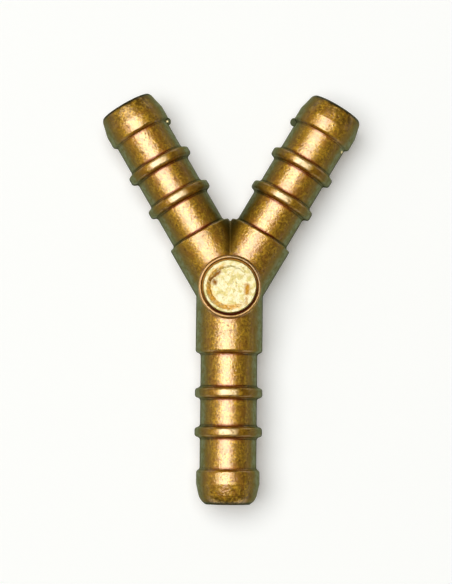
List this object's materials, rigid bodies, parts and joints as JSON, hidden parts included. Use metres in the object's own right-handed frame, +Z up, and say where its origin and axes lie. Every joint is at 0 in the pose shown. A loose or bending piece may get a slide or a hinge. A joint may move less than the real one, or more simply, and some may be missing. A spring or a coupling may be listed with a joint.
{
  "type": "three-way hose barb",
  "caption": "Y-shaped hose connector forged in one piece, with three ribbed hose tails, a thick hub and a round pad over the junction.",
  "frame": {"origin": "centre of the back pad that the part lies on, straight under the junction of the three bores", "axes": "+Z up, out of the front pad; +Y from the stem towards the fork between the two arms; +X towards the right arm, seen from the front"},
  "size_m": [0.043, 0.0685, 0.0126],
  "materials": {
    "brass": "shot-blasted forged brass, satin, finely grained"
  },
  "bodies": {
    "root": {"hose_barb_body": "brass"}
  },
  "joints": []
}
